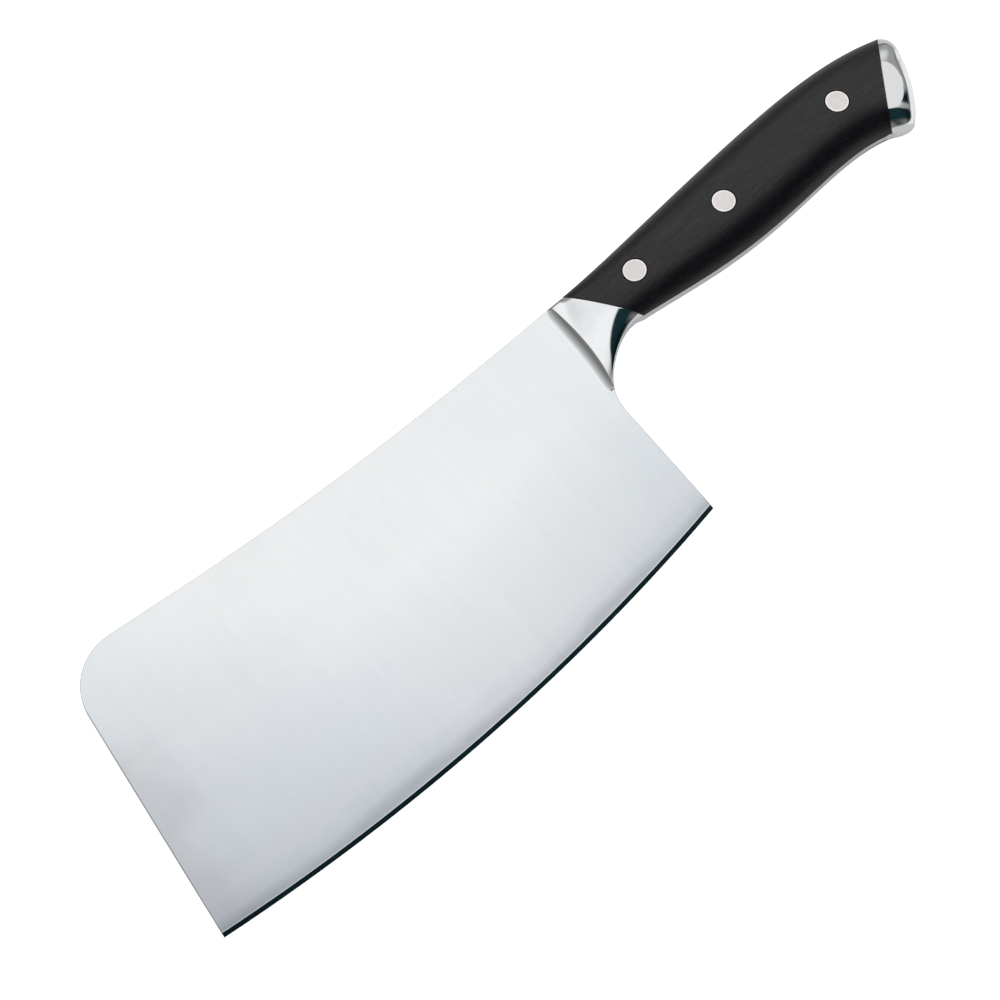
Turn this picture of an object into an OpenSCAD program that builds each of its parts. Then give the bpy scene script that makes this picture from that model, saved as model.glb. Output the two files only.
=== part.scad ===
// Meat cleaver with a full tang, lying on its right side.
// X runs from the blade towards the butt, Y from the cutting edge towards the spine,
// Z through the thickness. The drawing origin is the top of the bolster's front ridge,
// on the plate's middle plane; place() moves everything so that the origin is at the
// centre of the bounding box's underside.

/* [Blade] */
// Blade length, front lower corner to the bolster ridge
blade_length = 175; // [165:1:185]
// Depth of the cutting edge's lowest point below the rivet line
blade_drop = 73.2; // [70:0.5:78]
// Radius of the cutting edge's sweep
edge_r = 591; // [560:1:640]
// Radius of the rounded upper front corner
nose_r = 16.5; // [10:0.5:20]
// Plate thickness through the tang and at the bolster
plate_t = 2.5; // [2.2:0.1:2.8]
// Plate thickness at the front edge
front_t = 2.0; // [1.6:0.1:2.1]
// Thickness just above the sharpened bevel
edge_t = 0.7; // [0.5:0.05:0.9]
// Width of the sharpened bevel
bevel_w = 1.2; // [0.8:0.1:1.8]
// Width of the thinned band above the cutting edge
grind_w = 40; // [30:1:40]

/* [Handle] */
// Half thickness of the grip at its thickest
grip_half = 8; // [7.5:0.25:9]
// Radius of the hollow that blends the bolster into the blade
blend_r = 3; // [3:0.1:4]
// Glue line between each scale and the tang
film_t = 0.12; // [0.08:0.01:0.2]
// Gap left at the ends of the scales
end_gap = 0.03; // [0.02:0.01:0.1]
// Length of the end cap's tongue that is welded to the tang
tongue_l = 1.7; // [1.2:0.1:2.5]

/* [Rivets] */
// Diameter of the rivet heads
head_d = 6.5; // [6:0.1:7.5]
// Diameter of the rivet barrels
barrel_d = 4.8; // [4.4:0.1:5]
// Diameter of the pins pressed into the barrels
pin_d = 3.2; // [2.8:0.1:3.4]
// Height of the head seats above the middle plane
seat_z = 3.4; // [3.2:0.1:3.8]
// Front rivet, distance behind the bolster ridge
front_rivet_x = 22.7; // [21:0.1:26]
// Middle rivet, distance behind the bolster ridge
middle_rivet_x = 53.6; // [48:0.1:60]
// Rear rivet, distance behind the bolster ridge
rear_rivet_x = 96.8; // [93:0.1:99]

/* [Hidden] */
$fn = 64;
tang_h = plate_t / 2;
film_z = tang_h + film_t;
butt_x = 123;
grip_top = 15.55;

// cutting edge and front edge
edge_cx = -0.67 * blade_length;
edge_cy = edge_r - blade_drop;
tip_y = edge_cy - sqrt(pow(edge_r, 2) - pow(blade_length + edge_cx, 2));
front_lean = 0.1638;
hinge_x = -4.5;
bevel_slope = edge_t / 2 / bevel_w;

// control heights of the smooth curves
blade_top = [11.6, 9.4, 5.8, 6.55, 6.8, 8.34];
grip_spine = [8.38, 7.81, 12.5, 13.48, 15.61, 18.8, 10.99];
grip_belly = [-9.21, -8, -13.93, -14.89, -12.98, -5.4, -14.28];
grip_width = [2.28, 5.97, 10.29, 5.99, 9.95, 6.08];

// the two slanted joints, bowed towards the blade: x = base + slant * y + draft * height
front_base = 10.445;
front_slant = -0.705;
front_draft = -0.25;
rear_base = 112.7;
rear_slant = 0.699;
rear_draft = -0.2;
// fullness of the grip's oval: 2 is an ellipse, more is squarer
bulge = 2.5;

rivets = [
  [front_rivet_x, 0.5],
  [middle_rivet_x, -0.15],
  [rear_rivet_x, 2.5]
];

// ---------- curves ----------

// smooth curve through a row of control values, by repeated halving of the row
function cast(h, t) = len(h) == 1 ? h[0]
  : cast([for (i = [0 : len(h) - 2]) h[i] * (1 - t) + h[i + 1] * t], t);

function spine_y(x) = cast(grip_spine, (x + 4) / 128);
function belly_y(x) = x < 109 ? cast(grip_belly, (x - 4) / 106)
  : cast(grip_belly, 105 / 106) - 0.35 * (x - 109);
function half_t(x) = cast(grip_width, (x + 4) / 128) * grip_half / 8;
function top_y(x) = cast(blade_top, 1 + x / (0.857 * blade_length));
function front_x(y) = -blade_length + front_lean * (y - tip_y);
function heel_x(y) = -4.62 + 0.031 * (y + 28.83);

// height of the grip's oval surface above the middle plane;
// w runs from -1 at the belly edge of the tang to 1 at its spine edge
function oval_z(x, w) = let (b = half_t(x))
  sqrt(max(0, b * b - pow(abs(w), bulge) * (b * b - tang_h * tang_h)));
function mid_y(x) = (spine_y(x) + belly_y(x)) / 2;
function reach(x) = (spine_y(x) - belly_y(x)) / 2;
function grip_z(x, y) = oval_z(x, (y - mid_y(x)) / reach(x));
// widest w at the level z
function w_at(x, z) = let (b2 = pow(half_t(x), 2))
  pow((b2 - z * z) / (b2 - tang_h * tang_h), 1 / bulge);

// point on the oval at station x; f runs 0 to 1 from belly to spine, z0 is the lowest level
function grip_pt(x, f, z0) = let (w = -cos(180 * f) * w_at(x, z0))
  [x, mid_y(x) + w * reach(x), f == 0 || f == 1 ? z0 : oval_z(x, w)];
function front_joint(p) = front_base + front_slant * p[1]
  + front_draft * (max(p[2], tang_h) - tang_h);
function rear_joint(p) = rear_base + rear_slant * p[1]
  + rear_draft * (max(p[2], tang_h) - tang_h);

// the same point with x found so that it divides the way between the joints by s
function scale_pt(x, s, f, z0, n = 7) = let (p = grip_pt(x, f, z0)) n == 0 ? p
  : scale_pt((front_joint(p) + end_gap) * (1 - s) + (rear_joint(p) - end_gap) * s,
    s, f, z0, n - 1);
function front_pt(x, f, n = 7) = let (p = grip_pt(x, f, tang_h)) n == 0 ? p
  : front_pt(front_joint(p), f, n - 1);
function in_plan(p) = [p[0], p[1]];
function rear_pt(x, f, n = 7) = let (p = grip_pt(x, f, 0)) n == 0 ? p
  : rear_pt(rear_joint(p), f, n - 1);

// where a slanted line crosses the spine or the belly
function meet_spine(base, lean, x, n = 8) = n == 0 ? x
  : meet_spine(base, lean, base + lean * spine_y(x), n - 1);
function meet_belly(base, lean, x, n = 8) = n == 0 ? x
  : meet_belly(base, lean, base + lean * belly_y(x), n - 1);

// a row of points along the spine or the belly between two stations
function spine_row(a, b, n) = [for (i = [0 : n]) let (x = a + (b - a) * i / n) [x, spine_y(x)]];
function belly_row(a, b, n) = [for (i = [0 : n]) let (x = a + (b - a) * i / n) [x, belly_y(x)]];

// the sweep from the heel of the blade up into the belly of the grip
choil_end = front_pt(17, 0);
choil = [[-4.62, -28.83], [-4.34, -19.78], [-2.34, -19.24], [8.9, -6.2], [choil_end[0], choil_end[1]]];
choil_tail = 0.3;

// upper front corner of the blade
function nose_y(x) = top_y(x) - nose_r * 1.003;
nose_0 = front_x(-5) + nose_r * 1.0133;
nose_c = [front_x(nose_y(nose_0)) + nose_r * 1.0133, nose_y(nose_0)];

// ---------- closed skins ----------

function same(a, b) = norm(a - b) < 0.0005;
// number of a point on the upper grid, and on the lower grid, counting shared points once
function up(P, i, j) = i > 0 && same(P[i][j], P[i - 1][j]) ? up(P, i - 1, j)
  : i * len(P[0]) + j;
function dn(P, Q, i, j) = same(Q[i][j], P[i][j]) ? up(P, i, j)
  : i > 0 && same(Q[i][j], Q[i - 1][j]) ? dn(P, Q, i - 1, j)
  : (len(P) + i) * len(P[0]) + j;
function tri(a, b, c) = a == b || b == c || a == c ? [] : [[a, b, c]];
function wall(a, b, c, d) = concat(tri(a, b, c), tri(a, c, d));

// solid between an upper and a lower grid of points that meet along some of their borders
module skin(P, Q) {
  m = len(P) - 1;
  n = len(P[0]) - 1;
  flat = len(P) * len(P[0]);
  lid = [for (i = [0 : m - 1], j = [0 : n - 1])
    let (k = j < n / 2 ? [[i, j], [i + 1, j], [i, j + 1], [i + 1, j + 1]]
      : [[i, j], [i + 1, j], [i + 1, j + 1], [i, j + 1]])
    each j < n / 2 ? [[k[0], k[2], k[1]], [k[1], k[2], k[3]]]
      : [[k[0], k[2], k[1]], [k[0], k[3], k[2]]]];
  faces = [for (t = lid)
    let (u = [for (q = t) up(P, q[0], q[1])], d = [for (q = t) dn(P, Q, q[0], q[1])])
    each u == d ? [] : concat(tri(u[0], u[1], u[2]), tri(d[2], d[1], d[0]))];
  sides = [
    for (j = [0 : n - 1]) each wall(up(P, 0, j + 1), up(P, 0, j), dn(P, Q, 0, j), dn(P, Q, 0, j + 1)),
    for (j = [0 : n - 1]) each wall(up(P, m, j), up(P, m, j + 1), dn(P, Q, m, j + 1), dn(P, Q, m, j)),
    for (i = [0 : m - 1]) each wall(up(P, i, 0), up(P, i + 1, 0), dn(P, Q, i + 1, 0), dn(P, Q, i, 0)),
    for (i = [0 : m - 1]) each wall(up(P, i + 1, n), up(P, i, n), dn(P, Q, i, n), dn(P, Q, i + 1, n))
  ];
  polyhedron(points = concat([for (r = P) each r], [for (r = Q) each r]),
    faces = concat(faces, sides), convexity = 6);
}

function drop(P, z) = [for (r = P) [for (p = r) [p[0], p[1], z]]];
function blend4(a, b, c, d, u, v) = a * (1 - u) * (1 - v) + b * u * (1 - v) + c * u * v + d * (1 - u) * v;

module place() translate([(blade_length - butt_x) / 2, (blade_drop - grip_top) / 2, grip_half]) children();

// the three rivet holes, from one level to another
module bores(d, z0, z1) {
  for (r = rivets)
    translate([r[0], r[1], z0])
      cylinder(d = d, h = z1 - z0);
}

// ---------- blade and tang ----------

seam_base = rear_base - tongue_l;

module plate_outline() {
  s1 = meet_spine(seam_base, rear_slant, 118);
  b1 = meet_belly(seam_base, rear_slant, 103);
  polygon(concat(
    spine_row(s1, 0, 40),
    [for (i = [1 : 30]) let (x = (nose_c[0] + 1.6) * i / 30) [x, top_y(x)]],
    [for (a = [86 : 5.3 : 171]) nose_c + nose_r * [cos(a), sin(a)]],
    [[front_x(-85), -85], [heel_x(-85), -85]],
    [for (i = [0 : 24]) cast(choil, i / 24)],
    belly_row(choil_end[0] + 2, b1, 36)
  ));
}

// half section of the plate against its distance from the centre of the edge sweep
module sweep_section() {
  r0 = edge_r - grind_w;
  polygon(concat(
    [[0, -3], [r0 - 1, -3]],
    [for (i = [0 : 12]) let (t = i / 12 * (1 - bevel_w / grind_w))
      [r0 + grind_w * t, -tang_h + (tang_h - edge_t / 2) * t * t - (i == 0 ? 0.4 : 0)]],
    [[edge_r, 0]],
    [for (i = [12 : -1 : 0]) let (t = i / 12 * (1 - bevel_w / grind_w))
      [r0 + grind_w * t, tang_h - (tang_h - edge_t / 2) * t * t + (i == 0 ? 0.4 : 0)]],
    [[r0 - 1, 3], [0, 3]]
  ));
}

module blade() {
  color([0.82, 0.83, 0.84])
    place()
      difference() {
        intersection() {
          linear_extrude(height = plate_t, center = true)
            plate_outline();
          rotate([90, 0, 0])
            linear_extrude(height = 240, center = true)
              polygon([
                [-blade_length - 10, -front_t / 2], [hinge_x, -tang_h], [butt_x + 5, -tang_h],
                [butt_x + 5, tang_h], [hinge_x, tang_h], [-blade_length - 10, front_t / 2]
              ]);
          translate([edge_cx, edge_cy, 0])
            rotate_extrude($fn = 256)
              sweep_section();
        }
        bores(barrel_d + 0.1, -3, 3);
      }
}

// ---------- bolster ----------

ridge_wheel = max(blend_r, 1.08 * (half_t(0) - tang_h));
joint_tail = cast(choil, choil_tail);
ridge = [joint_tail, [-0.6, -13.5], [0.6, -6], [0, 8.34]];

// one point of the cheek's face: u from ridge to joint, f from belly to spine
function cheek_pt(u, f) = let (
    w = -cos(180 * f),
    v = (1 + w) / 2,
    j = front_pt(10, f),
    j0 = front_pt(17, 0),
    j1 = front_pt(4, 1),
    r = cast(ridge, v),
    c0 = cast(choil, choil_tail + (1 - choil_tail) * u),
    c1 = [j1[0] * u, spine_y(j1[0] * u)],
    p = c0 * (1 - v) + c1 * v + r * (1 - u) + [j[0], j[1]] * u
      - blend4(joint_tail, [j0[0], j0[1]], [j1[0], j1[1]], [0, spine_y(0)], u, v)
  ) u == 1 ? j : [p[0], p[1], f == 0 || f == 1 ? tang_h : oval_z(p[0], w)];

// one point of the hollow in front of the ridge: k from its foot to the ridge
function hollow_pt(k, f) = let (
    p = cheek_pt(0, f),
    rise = p[2] - tang_h,
    full = acos(max(-1, 1 - rise / ridge_wheel)),
    a = full * k,
    back = ridge_wheel * (sin(full) - sin(a)),
    v = (1 - cos(180 * f)) / 2,
    lean = 18 * pow(1 - v, 3)
  ) f == 0 || f == 1 ? p
    : [p[0] - back * cos(lean), p[1] + back * sin(lean) * 0.4, tang_h + ridge_wheel * (1 - cos(a))];

module cheek() {
  n = 24;
  P = concat(
    [for (k = [0 : 7]) [for (j = [0 : n]) hollow_pt(k / 8, j / n)]],
    [for (i = [0 : 12]) [for (j = [0 : n]) cheek_pt(i / 12, j / n)]]
  );
  skin(P, drop(P, tang_h));
}

module left_bolster() {
  color([0.88, 0.89, 0.90])
    place()
      cheek();
}

module right_bolster() {
  color([0.88, 0.89, 0.90])
    place()
      mirror([0, 0, 1])
        cheek();
}

// ---------- end cap ----------

cap_j0 = rear_pt(103, 0);
cap_j1 = rear_pt(121, 1);
cap_end = [[110.7, -14], [116.5, -9.7], [124.8, 3.8], [122.9, 10.5]];
cap_beak = [[cap_j0[0], cap_j0[1]], [106.9, -13.6], [108.9, -14.4], cap_end[0]];
cap_tip = [[cap_j1[0], cap_j1[1]], [121.7, 11.6], [122.1, 11.2], cap_end[3]];

function cap_pt(q, f) = let (
    v = (1 - cos(180 * f)) / 2,
    j = rear_pt(112, f),
    e = cast(cap_end, v),
    c0 = cast(cap_beak, q),
    c1 = cast(cap_tip, q),
    p = c0 * (1 - v) + c1 * v + [j[0], j[1]] * (1 - q) + e * q
      - blend4(cap_beak[0], cap_end[0], cap_end[3], cap_tip[0], q, v),
    x = min(p[0], 123.5),
    w = -cos(180 * f) * w_at(x, 0),
    nose = sqrt(max(0, 1 - pow(q, 3)))
  ) q == 0 ? j : [p[0], p[1], f == 0 || f == 1 || q == 1 ? 0 : oval_z(x, w) * nose];

module end_cap() {
  n = 24;
  m = 14;
  P = [for (i = [0 : m]) [for (j = [0 : n]) cap_pt(i == m ? 1 : sin(90 * i / m), j / n)]];
  s0 = meet_spine(seam_base, rear_slant, 118);
  s1 = meet_spine(rear_base, rear_slant, 120);
  b0 = meet_belly(seam_base, rear_slant, 103);
  b1 = meet_belly(rear_base, rear_slant, 104);
  color([0.88, 0.89, 0.90])
    place()
      union() {
        skin(P, [for (r = P) [for (p = r) [p[0], p[1], -p[2]]]]);
        linear_extrude(height = plate_t, center = true)
          polygon([
            [b0, belly_y(b0)], [b1, belly_y(b1)], [b1 + 2.5, belly_y(b1) + 1.5],
            [s1 + 0.2, spine_y(s1) - 1.5], [s1, spine_y(s1)], [s0, spine_y(s0)]
          ]);
      }
}

// ---------- scales ----------

module bond() {
  f1 = meet_spine(front_base + end_gap, front_slant, 4);
  f0 = meet_belly(front_base + end_gap, front_slant, 17);
  r1 = meet_spine(rear_base - end_gap, rear_slant, 120);
  r0 = meet_belly(rear_base - end_gap, rear_slant, 104);
  difference() {
    translate([0, 0, tang_h])
      linear_extrude(height = film_t)
        polygon(concat(
          belly_row(f0, r0, 40),
          [for (j = [1 : 21]) in_plan(scale_pt(60, 1, j / 22, film_z))],
          spine_row(r1, f1, 44),
          [for (j = [21 : -1 : 1]) in_plan(scale_pt(60, 0, j / 22, film_z))]
        ));
    bores(barrel_d + 0.1, 0, 4);
  }
}

module left_bond() {
  color([0.30, 0.20, 0.14])
    place()
      bond();
}

module right_bond() {
  color([0.30, 0.20, 0.14])
    place()
      mirror([0, 0, 1])
        bond();
}

module grip_scale() {
  n = 22;
  m = 34;
  P = [for (i = [0 : m]) [for (j = [0 : n]) scale_pt(60, i / m, j / n, film_z)]];
  difference() {
    skin(P, drop(P, film_z));
    bores(barrel_d + 0.1, 0, 12);
    bores(head_d + 0.04, seat_z, 12);
  }
}

module left_scale() {
  color([0.07, 0.07, 0.075])
    place()
      grip_scale();
}

module right_scale() {
  color([0.07, 0.07, 0.075])
    place()
      mirror([0, 0, 1])
        grip_scale();
}

// ---------- rivets ----------

// head of a rivet, ground flush with the grip's surface
module flush_head(r) {
  n = 8;
  s = head_d / 2 + 0.5;
  P = [for (i = [0 : n]) [for (j = [0 : n])
    let (x = r[0] - s + 2 * s * i / n, y = r[1] - s + 2 * s * j / n) [x, y, grip_z(x, y)]]];
  intersection() {
    translate([r[0], r[1], seat_z])
      cylinder(d = head_d, h = 12);
    skin(P, drop(P, 1));
  }
}

// left half: head and solid pin
module rivet_pin(r) {
  color([0.84, 0.82, 0.80])
    place()
      union() {
        flush_head(r);
        translate([r[0], r[1], 0.9 - seat_z])
          cylinder(d = pin_d, h = 2 * seat_z - 0.4);
      }
}

// right half: head and the barrel that takes the pin
module rivet_barrel(r) {
  color([0.84, 0.82, 0.80])
    place()
      difference() {
        union() {
          mirror([0, 0, 1])
            flush_head(r);
          translate([r[0], r[1], -seat_z - 0.5])
            cylinder(d = barrel_d, h = 2 * seat_z);
        }
        translate([r[0], r[1], 0.6 - seat_z])
          cylinder(d = pin_d + 0.04, h = 12);
      }
}

module front_rivet_pin() rivet_pin(rivets[0]);
module front_rivet_barrel() rivet_barrel(rivets[0]);
module middle_rivet_pin() rivet_pin(rivets[1]);
module middle_rivet_barrel() rivet_barrel(rivets[1]);
module rear_rivet_pin() rivet_pin(rivets[2]);
module rear_rivet_barrel() rivet_barrel(rivets[2]);

blade();
left_bolster();
right_bolster();
end_cap();
left_bond();
right_bond();
left_scale();
right_scale();
front_rivet_pin();
front_rivet_barrel();
middle_rivet_pin();
middle_rivet_barrel();
rear_rivet_pin();
rear_rivet_barrel();
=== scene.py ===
"""Meat cleaver lying on its right side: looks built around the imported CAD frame.

Shapes repeat the part's own dimensions in millimetres, in the part's drawing frame
(x from the blade to the butt, y from the edge to the spine, z through the thickness,
origin at the top of the bolster's front ridge on the plate's middle plane).
"""
import math

import bmesh
import bpy
import numpy as np
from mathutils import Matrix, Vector
from mathutils.geometry import delaunay_2d_cdt


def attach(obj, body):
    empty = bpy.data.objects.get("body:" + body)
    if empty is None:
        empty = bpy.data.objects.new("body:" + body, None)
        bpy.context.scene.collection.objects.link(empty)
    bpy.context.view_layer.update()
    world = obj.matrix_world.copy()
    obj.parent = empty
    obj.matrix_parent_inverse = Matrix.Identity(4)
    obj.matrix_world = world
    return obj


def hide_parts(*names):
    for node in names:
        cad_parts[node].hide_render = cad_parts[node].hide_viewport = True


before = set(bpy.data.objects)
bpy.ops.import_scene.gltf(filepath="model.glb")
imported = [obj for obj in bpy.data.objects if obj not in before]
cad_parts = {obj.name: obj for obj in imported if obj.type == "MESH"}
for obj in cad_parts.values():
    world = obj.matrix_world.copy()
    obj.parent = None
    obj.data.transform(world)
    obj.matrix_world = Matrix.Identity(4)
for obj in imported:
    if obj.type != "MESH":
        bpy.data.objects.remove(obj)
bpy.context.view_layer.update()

# ------------------------------------------------------------------ part dimensions, mm

MM = 0.001
BLADE_LENGTH, BLADE_DROP = 175.0, 73.2
BUTT_X, GRIP_TOP, GRIP_HALF = 123.0, 15.55, 8.0
ORIGIN = np.array([(BLADE_LENGTH - BUTT_X) / 2, (BLADE_DROP - GRIP_TOP) / 2, GRIP_HALF])
EDGE_R = 591.0         # radius of the cutting edge's arc
NOSE_R = 16.5          # radius of the blade's rounded upper front corner
TANG = 1.25            # half thickness of the tang
FRONT_HALF = 1.0       # half thickness that the taper runs out to, just past the front edge
EDGE_HALF = 0.35       # half thickness just above the bevel
BEVEL_W = 1.2          # width of the cutting bevel
GRIND_W = 40.0         # width of the thinned band above the cutting edge
GRIND_FADE = 12.0      # width over which the thinned band sets in
GRIND_SOFT = 0.06      # softness of the crease between the flat and the thinned band
SOFT_EDGE = 0.12       # width of the softened arris round the blade
TANG_EDGE = 0.03       # the same round the tang
BLADE_EASE = 0.06      # how far that arris drops on the blade
TAPER_X = -4.5         # where the blade's taper starts
TAPER_SPAN = TAPER_X + BLADE_LENGTH + 10
FILM_Z = 1.37          # top of the glue line
END_GAP = 0.03         # gap between the scales' ends and the steel
TONGUE = 1.7           # how far the cap's tongue reaches under the scales
HEAD_R, BARREL_R, PIN_R = 3.25, 2.4, 1.6
SEAT_Z = 3.4           # height of the seats of the rivet heads
HEAD_GAP, BARREL_GAP = 0.20, 0.05
RIVETS = {"front": (22.7, 0.5), "middle": (53.6, -0.15), "rear": (96.8, 2.5)}

# centre of the cutting edge's arc, and the lower front corner that lies on it
EDGE_CX = -0.67 * BLADE_LENGTH
EDGE_CY = EDGE_R - BLADE_DROP
TIP_Y = EDGE_CY - math.sqrt(EDGE_R ** 2 - (BLADE_LENGTH + EDGE_CX) ** 2)
LEAN = 0.1638          # lean of the front edge, x over y
LEAN_STRETCH = 1.0133  # one over the cosine of that lean
HEEL_LEAN = 0.031      # lean of the edge behind the heel

# control values of the outlines in plan, and of the grip's half thickness
BLADE_TOP = [11.6, 9.4, 5.8, 6.55, 6.8, 8.34]
GRIP_SPINE = [8.38, 7.81, 12.5, 13.48, 15.61, 18.8, 10.99]
GRIP_BELLY = [-9.21, -8, -13.93, -14.89, -12.98, -5.4, -14.28]
GRIP_WIDTH = [2.28, 5.97, 10.29, 5.99, 9.95, 6.08]
BULGE = 2.5            # fullness of the grip's oval: 2 is an ellipse, more is squarer
FRONT_BASE, FRONT_SLANT, FRONT_DRAFT = 10.445, -0.705, -0.25
REAR_BASE, REAR_SLANT, REAR_DRAFT = 112.7, 0.699, -0.2
SEAM_BASE = REAR_BASE - TONGUE
CHOIL_TAIL = 0.3       # where the ridge's foot stands, as a share of the choil's curve
CAP_END = [[110.7, -14], [116.5, -9.7], [124.8, 3.8], [122.9, 10.5]]


# ------------------------------------------------------------------ curves

GRIP_START, GRIP_SPAN = -4, 128          # stretch in x of the spine's and the thickness's curves
BELLY_START, BELLY_SPAN = 4, 106
BELLY_STRAIGHT, BELLY_SLOPE = 109, 0.35  # past this x the belly runs on straight
ROUNDS = 12                              # passes that settle a point on a slanted joint


def bezier(control, t):
    """Bezier curve with the given control values, at t."""
    rows = [np.asarray(v, float) for v in control]
    while len(rows) > 1:
        rows = [a * (1 - t) + b * t for a, b in zip(rows, rows[1:])]
    return rows[0]


def plan_curve(points, t):
    """The same in plan, with control points."""
    return np.stack([bezier([p[k] for p in points], t) for k in (0, 1)], -1)


def spine(x):
    """The grip's upper outline."""
    return bezier(GRIP_SPINE, (x - GRIP_START) / GRIP_SPAN)


def belly(x):
    """The grip's lower outline."""
    start = bezier(GRIP_BELLY, (BELLY_STRAIGHT - BELLY_START) / BELLY_SPAN)
    tail = start - BELLY_SLOPE * (x - BELLY_STRAIGHT)
    return np.where(x < BELLY_STRAIGHT, bezier(GRIP_BELLY, (x - BELLY_START) / BELLY_SPAN), tail)


def half(x):
    """Half thickness of the grip at its middle."""
    return bezier(GRIP_WIDTH, (x - GRIP_START) / GRIP_SPAN)


def blade_top(x):
    """The blade's upper outline, from the ridge to the rounded corner."""
    return bezier(BLADE_TOP, 1 + x / (0.857 * BLADE_LENGTH))


def middle(x):
    return (spine(x) + belly(x)) / 2


def reach(x):
    return (spine(x) - belly(x)) / 2


def share_at(x, z):
    """How far from the middle line to the outline the oval stands at the level z."""
    b2 = half(x) ** 2
    return ((b2 - z * z) / (b2 - TANG * TANG)) ** (1 / BULGE)


def oval(x, w):
    """Half thickness of the grip at w, which is -1 on the belly and 1 on the spine."""
    b2 = half(x) ** 2
    return np.sqrt(np.maximum(0, b2 - np.abs(w) ** BULGE * (b2 - TANG * TANG)))


def grip_z(x, y):
    return oval(x, (y - middle(x)) / reach(x))


def grip_point(x, f, z0):
    """The point of the grip above the level z0 at the fraction f of the way from belly to spine."""
    w = -np.cos(np.pi * f) * share_at(x, z0)
    return np.stack([x, middle(x) + w * reach(x), np.maximum(z0, oval(x, w))], -1)


def front_joint(p):
    """x of the joint between bolster and scale, beside the point p."""
    return FRONT_BASE + FRONT_SLANT * p[..., 1] + FRONT_DRAFT * (np.maximum(p[..., 2], TANG) - TANG)


def rear_joint(p):
    """x of the joint between scale and end cap, beside the point p."""
    return REAR_BASE + REAR_SLANT * p[..., 1] + REAR_DRAFT * (np.maximum(p[..., 2], TANG) - TANG)


def on_joint(joint, start, f, z0):
    """The point of the grip's oval, at the fraction f, that lies on a slanted joint."""
    x = np.full(np.shape(f), float(start))
    for _ in range(ROUNDS):
        x = joint(grip_point(x, f, z0))
    return grip_point(x, f, z0)


def scale_point(s, f):
    """The point of the scale at the fractions s from bolster to cap and f from belly to spine."""
    x = np.full(np.broadcast(s, f).shape, 60.0)
    for _ in range(ROUNDS):
        p = grip_point(x, f, FILM_Z)
        x = (front_joint(p) + END_GAP) * (1 - s) + (rear_joint(p) - END_GAP) * s
    return grip_point(x, f, FILM_Z)


def meet(line, base, slant, x):
    """x where an outline meets a slanted joint, starting from a guess."""
    for _ in range(ROUNDS):
        x = base + slant * float(line(np.float64(x)))
    return x


CHOIL_END = on_joint(front_joint, 17, np.array(0.0), TANG)[:2]
CHOIL = [[-4.62, -28.83], [-4.34, -19.78], [-2.34, -19.24], [8.9, -6.2], list(CHOIL_END)]


def front_x(y):
    """The blade's front edge."""
    return -BLADE_LENGTH + LEAN * (y - TIP_Y)


def heel_x(y):
    """The blade's rear edge, from the choil to the heel."""
    return CHOIL[0][0] + HEEL_LEAN * (y - CHOIL[0][1])


def plate_half(x, y):
    """Half thickness of the plate: distal taper, thinned lower band and bevel."""
    wedge = TANG + (FRONT_HALF - TANG) * np.clip((TAPER_X - x) / TAPER_SPAN, 0, 1)
    r = np.hypot(x - EDGE_CX, y - EDGE_CY)
    into_band = r - (EDGE_R - GRIND_W)
    depth = np.clip(into_band / GRIND_W, 0, 1)
    grind = TANG - (TANG - EDGE_HALF) * depth * depth
    crease = -GRIND_SOFT * np.logaddexp(-wedge / GRIND_SOFT, -grind / GRIND_SOFT)
    blend = np.clip(into_band / GRIND_FADE, 0, 1)
    body = wedge * (1 - blend) + np.minimum(wedge, crease) * blend
    bevel = EDGE_HALF * (EDGE_R - r) / BEVEL_W
    return np.maximum(0, np.minimum(body, np.where(bevel < EDGE_HALF, bevel, body)))


# ------------------------------------------------------------------ mesh helpers

WELD, FLAT = 3e-7, 1e-7  # distances, in metres, below which points and thin faces are merged


def finish_mesh(name, verts, faces, node, sharp):
    """One object in the row frame that stands for a CAD node; turns past sharp degrees stay crisp."""
    mesh = bpy.data.meshes.new(name)
    mesh.from_pydata(((np.asarray(verts, float) + ORIGIN) * MM).tolist(), [], faces)
    bm = bmesh.new()
    bm.from_mesh(mesh)
    bmesh.ops.remove_doubles(bm, verts=bm.verts, dist=WELD)
    bmesh.ops.dissolve_degenerate(bm, edges=bm.edges, dist=FLAT)
    bmesh.ops.recalc_face_normals(bm, faces=bm.faces)
    bm.to_mesh(mesh)
    bm.free()
    mesh.polygons.foreach_set("use_smooth", [True] * len(mesh.polygons))
    mesh.set_sharp_from_angle(angle=math.radians(sharp))
    obj = bpy.data.objects.new(name, mesh)
    bpy.context.scene.collection.objects.link(obj)
    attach(obj, "root")
    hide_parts(node)
    return obj


def mirrored(verts):
    """The same points on the other side of the plate's middle plane."""
    return np.asarray(verts, float) * np.array([1, 1, -1])


def grid_faces(rows, cols):
    return [(i * cols + j, i * cols + j + 1, (i + 1) * cols + j + 1, (i + 1) * cols + j)
            for i in range(rows - 1) for j in range(cols - 1)]


def rounded(a, corner, b, n):
    """Rows that turn the corner between two rows of points with a small radius."""
    return [a * (1 - t) ** 2 + corner * 2 * t * (1 - t) + b * t * t
            for t in np.linspace(0, 1, n + 1)]


def inside(points, loop):
    """Even-odd test of many points against one closed loop."""
    x, y = points[:, 0][:, None], points[:, 1][:, None]
    x0, y0 = loop[:, 0][None], loop[:, 1][None]
    x1, y1 = np.roll(loop[:, 0], -1)[None], np.roll(loop[:, 1], -1)[None]
    cross = (y0 > y) != (y1 > y)
    dy = np.where(y1 == y0, 1e-12, y1 - y0)
    return (np.sum(cross & (x < (x1 - x0) * (y - y0) / dy + x0), axis=1) % 2) == 1


SLIVER = 1e-6            # twice the area, in square mm, below which a triangle is left out


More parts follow.
